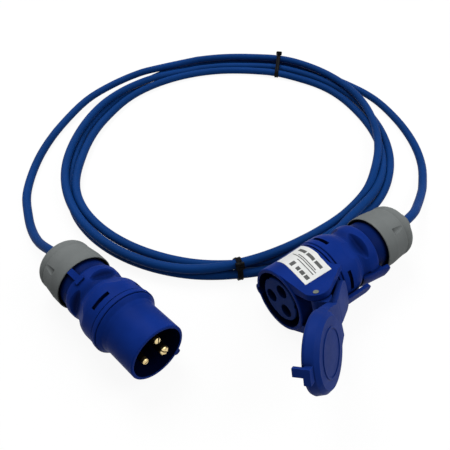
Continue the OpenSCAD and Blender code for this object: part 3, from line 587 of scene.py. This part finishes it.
def cable_points():
    """The cable's middle line, from inside the plug's gland to inside the coupler's."""
    plug_axis = axis_points(PLUG, PLUG_NUT_BACK, (CABLE_INSIDE, 0, -CABLE_STRAIGHT))
    coupler_axis = axis_points(COUPLER, COUPLER_NUT_BACK, (-CABLE_STRAIGHT, 0, CABLE_INSIDE))
    lanes = smooth_run([Vector(p) for p in COIL_LANES], LANE_STEPS)
    run = plug_axis + [Vector(p) for p in PLUG_ROUTE] + [coil_point(*p) for p in lanes]
    run += [Vector(p) for p in reversed(COUPLER_ROUTE)] + coupler_axis
    return [p + UP * strap_lift(p) for p in smooth_run(run, ROUTE_STEPS)]


def make_cable(paints):
    """The whole cable as one round curve; its middle line is handed on for the ties."""
    points = cable_points()
    data = bpy.data.curves.new("cable", "CURVE")
    data.dimensions = "3D"
    data.bevel_depth = CABLE_D / 2 * MM
    data.bevel_resolution = CABLE_ROUNDNESS
    data.use_fill_caps = True
    spline = data.splines.new("POLY")
    spline.points.add(len(points) - 1)
    for target, p in zip(spline.points, points):
        target.co = (*(p * MM), 1)
    spline.use_smooth = True
    data.materials.append(paints["cable"])
    cable = bpy.data.objects.new("cable", data)
    scene.collection.objects.link(cable)
    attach(cable, "lead_set")
    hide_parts("plug_lead", "coupler_lead", "cable_coil")
    return points


# Ties, in millimetres

# Width and thickness of the strap, and its gap from the strands
TIE_W = 4.6
TIE_T = 1.2
TIE_GAP = 0.15
# Points round one strand, and round the band that is pulled about all of them
STRAND_POINTS = 32
BAND_POINTS = 120
# Section of the strap as (share of the width, share of the thickness), with eased edges and a groove
TIE_SECTION = [
    (-0.5, 0.2), (-0.5, 0.75), (-0.42, 1.0), (-0.26, 1.0), (-0.2, 0.82), (0.2, 0.82), (0.26, 1.0),
    (0.42, 1.0), (0.5, 0.75), (0.5, 0.2), (0.4, 0.0), (-0.4, 0.0),
]
# Teeth in the groove: their depth, and the part of the section that has them
TIE_TOOTH = 0.16
TOOTH_HALF_W = 0.22
TOOTH_LEVEL = 0.5
# Head with its sink into the strap, ridges and tail, each with the easing of its edges
TIE_HEAD = (7.0, 5.6, 3.8)
HEAD_SINK = 0.8
HEAD_EASE = 0.5
TIE_RIDGE = (0.8 * TIE_HEAD[0], 0.8, 0.8)
RIDGE_STEP = 1.8
RIDGE_EASE = 0.2
TIE_TAIL = (0.9 * TIE_W, 1.8, TIE_T)
TAIL_PLACE = (0, -TIE_HEAD[1] / 2 - 0.3, 0.2)
TAIL_EASE = 0.25
# How far each tie is turned from straight across the coil, and which way its head faces
REAR_YAW, REAR_HEAD_TILT = 12.0, 68.0
FRONT_YAW, FRONT_HEAD_TILT = 12.0, 29.0


def tie_axes(direction, yaw):
    """Middle of a tie, and the ways outward and sideways from it."""
    angle = math.radians(direction + COIL_HEADING)
    x = COIL_CENTRE[0] + TIE_MIDDLE * math.cos(angle)
    y = COIL_CENTRE[1] + TIE_MIDDLE * math.sin(angle)
    angle += math.radians(yaw)
    out = Vector((math.cos(angle), math.sin(angle), 0))
    return Vector((x, y, 0)), out, Vector((-out.y, out.x, 0))


def strands_at(points, middle, out, side):
    """Where the cable crosses a tie, as distances outward from its middle and heights."""
    found = []
    for a, b in zip(points, points[1:]):
        before, after = (a - middle).dot(side), (b - middle).dot(side)
        if before * after > 0 or before == after:
            continue
        p = a.lerp(b, before / (before - after))
        if abs((p - middle).dot(out)) < TIE_REACH:
            found.append(((p - middle).dot(out), p.z))
    return found


def even_outline(corners, count):
    """Points at even steps round a closed outline."""
    loop = corners + [corners[0]]
    spans = [(b - a).length for a, b in zip(loop, loop[1:])]
    step = sum(spans) / count
    points = []
    at, i = 0.0, 0
    for k in range(count):
        while at + spans[i] < k * step:
            at += spans[i]
            i += 1
        points.append(loop[i].lerp(loop[i + 1], (k * step - at) / spans[i]))
    return points


def band_outline(strands, radius):
    """Outline of a band pulled round the strands."""
    rim = []
    for r, z in strands:
        for k in range(STRAND_POINTS):
            a = 2 * math.pi * k / STRAND_POINTS
            rim.append(Vector((r + radius * math.cos(a), z + radius * math.sin(a))))
    return even_outline([rim[i] for i in convex_hull_2d(rim)], BAND_POINTS)


def outline_ways(outline):
    """Ways along and outward at each point of a closed outline."""
    count = len(outline)
    middle = sum(outline, Vector((0, 0))) / count
    ways = []
    for i, p in enumerate(outline):
        along = (outline[(i + 1) % count] - outline[i - 1]).normalized()
        normal = Vector((along.y, -along.x))
        if normal.dot(p - middle) < 0:
            normal = -normal
        ways.append((along, normal))
    return ways


def add_band(bm, outline, ways, axes):
    """The strap itself, its section swept round the outline."""
    origin, out, side = axes
    rings = []
    for i, (p, (_, normal)) in enumerate(zip(outline, ways)):
        tooth = TIE_TOOTH if i % 2 else 0.0
        ring = []
        for w, t in TIE_SECTION:
            dip = tooth if abs(w) < TOOTH_HALF_W and t > TOOTH_LEVEL else 0.0
            q = p + normal * (t * TIE_T - dip)
            ring.append(bm.verts.new((origin + out * q.x + UP * q.y + side * (w * TIE_W)) * MM))
        rings.append(ring)
    close_rings(bm, rings)


def head_place(outline, ways, axes, tilt):
    """Place of a tie's head, where the strap faces the tilt."""
    origin, out, side = axes
    facing = Vector((math.cos(math.radians(tilt)), math.sin(math.radians(tilt))))
    i = max(range(len(outline)), key=lambda k: ways[k][1].dot(facing))
    along, normal = ways[i]
    spot = outline[i] + normal * (TIE_T + TIE_HEAD[2] / 2 - HEAD_SINK)
    run = (out * along.x + UP * along.y).normalized()
    rise = (out * normal.x + UP * normal.y).normalized()
    stand = Matrix((side, run, rise)).transposed().to_4x4()
    return Matrix.Translation((origin + out * spot.x + UP * spot.y) * MM) @ stand


def rounded_block(bm, place, size, ease):
    """A block with eased edges, its middle at the given place."""
    scale = Matrix.Diagonal((*mm(*size), 1))
    made = bmesh.ops.create_cube(bm, size=1.0, matrix=place @ scale)
    edges = list({e for v in made["verts"] for e in v.link_edges})
    bmesh.ops.bevel(bm, geom=edges, offset=ease * MM, segments=2, affect="EDGES", profile=0.6)


def add_head(bm, place):
    """Head of a tie, with three ridges on top and the end of the strap behind it."""
    rounded_block(bm, place, TIE_HEAD, HEAD_EASE)
    for k in (-1, 0, 1):
        ridge = Matrix.Translation(mm(0, k * RIDGE_STEP, TIE_HEAD[2] / 2))
        rounded_block(bm, place @ ridge, TIE_RIDGE, RIDGE_EASE)
    rounded_block(bm, place @ Matrix.Translation(mm(*TAIL_PLACE)), TIE_TAIL, TAIL_EASE)


def make_tie(name, points, direction, yaw, head_tilt, paints):
    """A strap round the strands at one direction of the coil, with its head."""
    axes = tie_axes(direction, yaw)
    outline = band_outline(strands_at(points, *axes), CABLE_D / 2 + TIE_GAP)
    ways = outline_ways(outline)
    bm = bmesh.new()
    add_band(bm, outline, ways, axes)
    add_head(bm, head_place(outline, ways, axes, head_tilt))
    tie = make_piece(name, bm, [paints["nylon"]])
    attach(tie, "lead_set")
    return tie


def make_ties(points, paints):
    rear = make_tie("rear_strap", points, TIE_DIRECTIONS[0], REAR_YAW, REAR_HEAD_TILT, paints)
    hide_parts("tie_rear")
    front = make_tie("front_strap", points, TIE_DIRECTIONS[1], FRONT_YAW, FRONT_HEAD_TILT, paints)
    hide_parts("tie_front")


# Label, in millimetres

# Its edges on the coupler as (direction, height of the front edge, height of the rear edge)
LABEL_ROWS = [
    (125.0, -7.4, -31.8), (141.0, -9.2, -34.2), (157.0, -10.5, -35.9), (177.0, -11.6, -36.4),
    (200.0, -12.2, -36.5),
]
# Faces along and across it, the height of its vertices above the barrel, and its thickness
LABEL_STEPS = (96, 60)
LABEL_LIFT = 0.14
LABEL_FILM = 0.1
# Distance from the axis at which the search for the barrel's surface starts
LABEL_SEARCH_R = 60.0
# Plain bars as (start and end along the label's length, start and end across it)
LABEL_BARS = [
    (0.05, 0.15, 0.13, 0.27), (0.18, 0.29, 0.13, 0.27), (0.32, 0.43, 0.13, 0.27),
    (0.52, 0.63, 0.10, 0.30), (0.07, 0.60, 0.40, 0.43), (0.07, 0.86, 0.50, 0.53),
    (0.12, 0.72, 0.57, 0.60), (0.09, 0.30, 0.71, 0.83), (0.34, 0.58, 0.71, 0.83),
    (0.62, 0.86, 0.71, 0.83),
]


def label_row(u):
    """Direction and both edges of the label at a share of its length."""
    direction = LABEL_ROWS[0][0] + u * (LABEL_ROWS[-1][0] - LABEL_ROWS[0][0])
    for a, b in zip(LABEL_ROWS, LABEL_ROWS[1:]):
        if direction <= b[0]:
            t = (direction - a[0]) / (b[0] - a[0])
            return direction, a[1] + (b[1] - a[1]) * t, a[2] + (b[2] - a[2]) * t
    return LABEL_ROWS[-1]


def make_label(paints):
    """A film pressed on to the coupler's barrel, with plain bars on it."""
    body = nodes["coupler_body"].data
    tree = BVHTree.FromPolygons([v.co for v in body.vertices], [p.vertices for p in body.polygons])
    long_steps, cross_steps = LABEL_STEPS
    bm = bmesh.new()
    grid = []
    for i in range(long_steps + 1):
        direction, front, rear = label_row(i / long_steps)
        angle = math.radians(direction)
        row = []
        for k in range(cross_steps + 1):
            z = front + (rear - front) * k / cross_steps
            start = COUPLER @ mm(LABEL_SEARCH_R * math.cos(angle), LABEL_SEARCH_R * math.sin(angle), z)
            aim = (COUPLER @ mm(0, 0, z) - start).normalized()
            hit = tree.ray_cast(start, aim)[0]
            row.append(bm.verts.new(hit - aim * LABEL_LIFT * MM))
        grid.append(row)
    for i in range(long_steps):
        for k in range(cross_steps):
            face = bm.faces.new((grid[i][k], grid[i + 1][k], grid[i + 1][k + 1], grid[i][k + 1]))
            u, v = (i + 0.5) / long_steps, (k + 0.5) / cross_steps
            if any(a < u < b and c < v < d for a, b, c, d in LABEL_BARS):
                face.material_index = 1
    label = make_piece("label", bm, [paints["label"], paints["ink"]])
    thick = label.modifiers.new("film", "SOLIDIFY")
    thick.thickness = LABEL_FILM * MM
    thick.offset = -1
    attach(label, "lead_set")


# Ring on the lid, in millimetres: its inner and outer radius, its rise and the degrees between sections
RELIEF_RING = (14.6, 16.2)
RELIEF_RISE = 0.55
RELIEF_STEP = 5
# Section as (share of the width, share of the rise)
RELIEF_SECTION = [(-0.5, -0.3), (-0.42, 0.55), (-0.22, 0.95), (0.22, 0.95), (0.42, 0.55), (0.5, -0.3)]


def make_lid_relief(paints):
    """A plain raised ring on the lid's outer face."""
    inner_r, outer_r = RELIEF_RING
    bm = bmesh.new()
    rings = []
    for direction in range(0, 360, RELIEF_STEP):
        angle = math.radians(direction)
        ring = []
        for w, h in RELIEF_SECTION:
            r = (inner_r + outer_r) / 2 - w * (outer_r - inner_r)
            place = mm(r * math.cos(angle), r * math.sin(angle), LID_FACE_Z + h * RELIEF_RISE)
            ring.append(bm.verts.new(LID @ place))
        rings.append(ring)
    close_rings(bm, rings)
    relief = make_piece("lid_relief", bm, [paints["lid"]])
    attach(relief, "lid")


# Stage and light

# Size of the floor in metres, and its roughness
FLOOR_SIZE = 8
FLOOR_ROUGH = 0.9
# Grey of the floor as it is seen, and as it throws light back
FLOOR_SEEN = 0.95
FLOOR_BOUNCE = 0.36
# Share of plain white in the floor at the object, and the distances in metres over which it becomes all
FLOOR_GLOW_SHARE = 0.92
FLOOR_FADE = (0.45, 1.1)
# Strength of the sky at the horizon and overhead
SKY_LOW = 0.05
SKY_HIGH = 0.62
# Soft boxes as (name, place in metres, size, watts)
LAMPS = [
    ("back", (0.15, 0.75, 1.15), 0.8, 12.0),
    ("front", (0.72, -0.68, 0.98), 0.9, 8.6),
]
# Point that they face
LAMP_TARGET = Vector((0.05, 0.1, 0))


def seen_rays(tree):
    """1 for the rays that should meet a white background: camera, glossy and transmitted ones."""
    rays = add_node(tree, "ShaderNodeLightPath")
    seen = rays.outputs["Is Camera Ray"]
    for name in ("Is Glossy Ray", "Is Transmission Ray"):
        both = add_node(tree, "ShaderNodeMath", operation="MAXIMUM")
        tree.links.new(seen, both.inputs[0])
        tree.links.new(rays.outputs[name], both.inputs[1])
        seen = both.outputs[0]
    return seen


def mix_shaders(tree, factor, a, b, output):
    """Sends a mix of two shaders to an output node."""
    mix = add_node(tree, "ShaderNodeMixShader")
    tree.links.new(factor, mix.inputs["Fac"])
    tree.links.new(a.outputs[0], mix.inputs[1])
    tree.links.new(b.outputs[0], mix.inputs[2])
    tree.links.new(mix.outputs[0], tree.nodes[output].inputs["Surface"])


def floor_white(tree, seen):
    """Share of plain white in the floor, for the rays that see it."""
    reach = add_node(tree, "ShaderNodeVectorMath", operation="LENGTH")
    tree.links.new(add_node(tree, "ShaderNodeTexCoord").outputs["Object"], reach.inputs[0])
    fade = add_node(tree, "ShaderNodeMapRange")
    socket(fade, "From Min").default_value = FLOOR_FADE[0]
    socket(fade, "From Max").default_value = FLOOR_FADE[1]
    socket(fade, "To Min").default_value = FLOOR_GLOW_SHARE
    socket(fade, "To Max").default_value = 1.0
    tree.links.new(reach.outputs["Value"], socket(fade, "Value"))
    share = add_node(tree, "ShaderNodeMath", operation="MULTIPLY")
    tree.links.new(seen, share.inputs[0])
    tree.links.new(fade.outputs["Result"], share.inputs[1])
    return share.outputs[0]


def make_stage():
    """A pale floor that shows white, with the object's soft shadow kept."""
    bpy.ops.mesh.primitive_plane_add(size=FLOOR_SIZE, location=(0, 0, 0))
    floor = bpy.context.object
    floor.name = "floor"
    material = bpy.data.materials.new("floor")
    material.use_nodes = True
    tree = material.node_tree
    shader = tree.nodes["Principled BSDF"]
    socket(shader, "Roughness").default_value = FLOOR_ROUGH
    socket(shader, "Specular IOR Level").default_value = 0.0
    seen = seen_rays(tree)
    pale = add_node(tree, "ShaderNodeMix", data_type="RGBA")
    tree.links.new(seen, pale.inputs[MIX_FACTOR])
    pale.inputs[MIX_A].default_value = (*[FLOOR_BOUNCE] * 3, 1)
    pale.inputs[MIX_B].default_value = (*[FLOOR_SEEN] * 3, 1)
    tree.links.new(pale.outputs[MIX_RESULT], socket(shader, "Base Color"))
    glow = add_node(tree, "ShaderNodeEmission")
    socket(glow, "Strength").default_value = 1.0
    mix_shaders(tree, floor_white(tree, seen), shader, glow, "Material Output")
    floor.data.materials.append(material)


def make_world():
    """Soft light that is brighter from above, and white where it is seen."""
    world = bpy.data.worlds.new("world")
    scene.world = world
    world.use_nodes = True
    tree = world.node_tree
    sky = tree.nodes["Background"]
    parts = add_node(tree, "ShaderNodeSeparateXYZ")
    tree.links.new(add_node(tree, "ShaderNodeTexCoord").outputs["Generated"], parts.inputs[0])
    rise = add_node(tree, "ShaderNodeMapRange")
    socket(rise, "To Min").default_value = SKY_LOW
    socket(rise, "To Max").default_value = SKY_HIGH
    tree.links.new(parts.outputs["Z"], socket(rise, "Value"))
    tree.links.new(rise.outputs["Result"], socket(sky, "Strength"))
    white = add_node(tree, "ShaderNodeBackground")
    for background in (sky, white):
        socket(background, "Color").default_value = (1, 1, 1, 1)
    mix_shaders(tree, seen_rays(tree), sky, white, "World Output")


def make_light():
    make_world()
    for name, place, size, power in LAMPS:
        data = bpy.data.lights.new(name, "AREA")
        data.size = size
        data.energy = power
        lamp = bpy.data.objects.new(name, data)
        scene.collection.objects.link(lamp)
        lamp.location = place
        lamp.rotation_euler = (LAMP_TARGET - Vector(place)).to_track_quat("-Z", "Y").to_euler()
    scene.view_settings.view_transform = "Standard"


make_camera()
make_light()
make_stage()
paints = make_paints()
dress_nodes(paints)
cable_line = make_cable(paints)
make_ties(cable_line, paints)
make_label(paints)
make_lid_relief(paints)
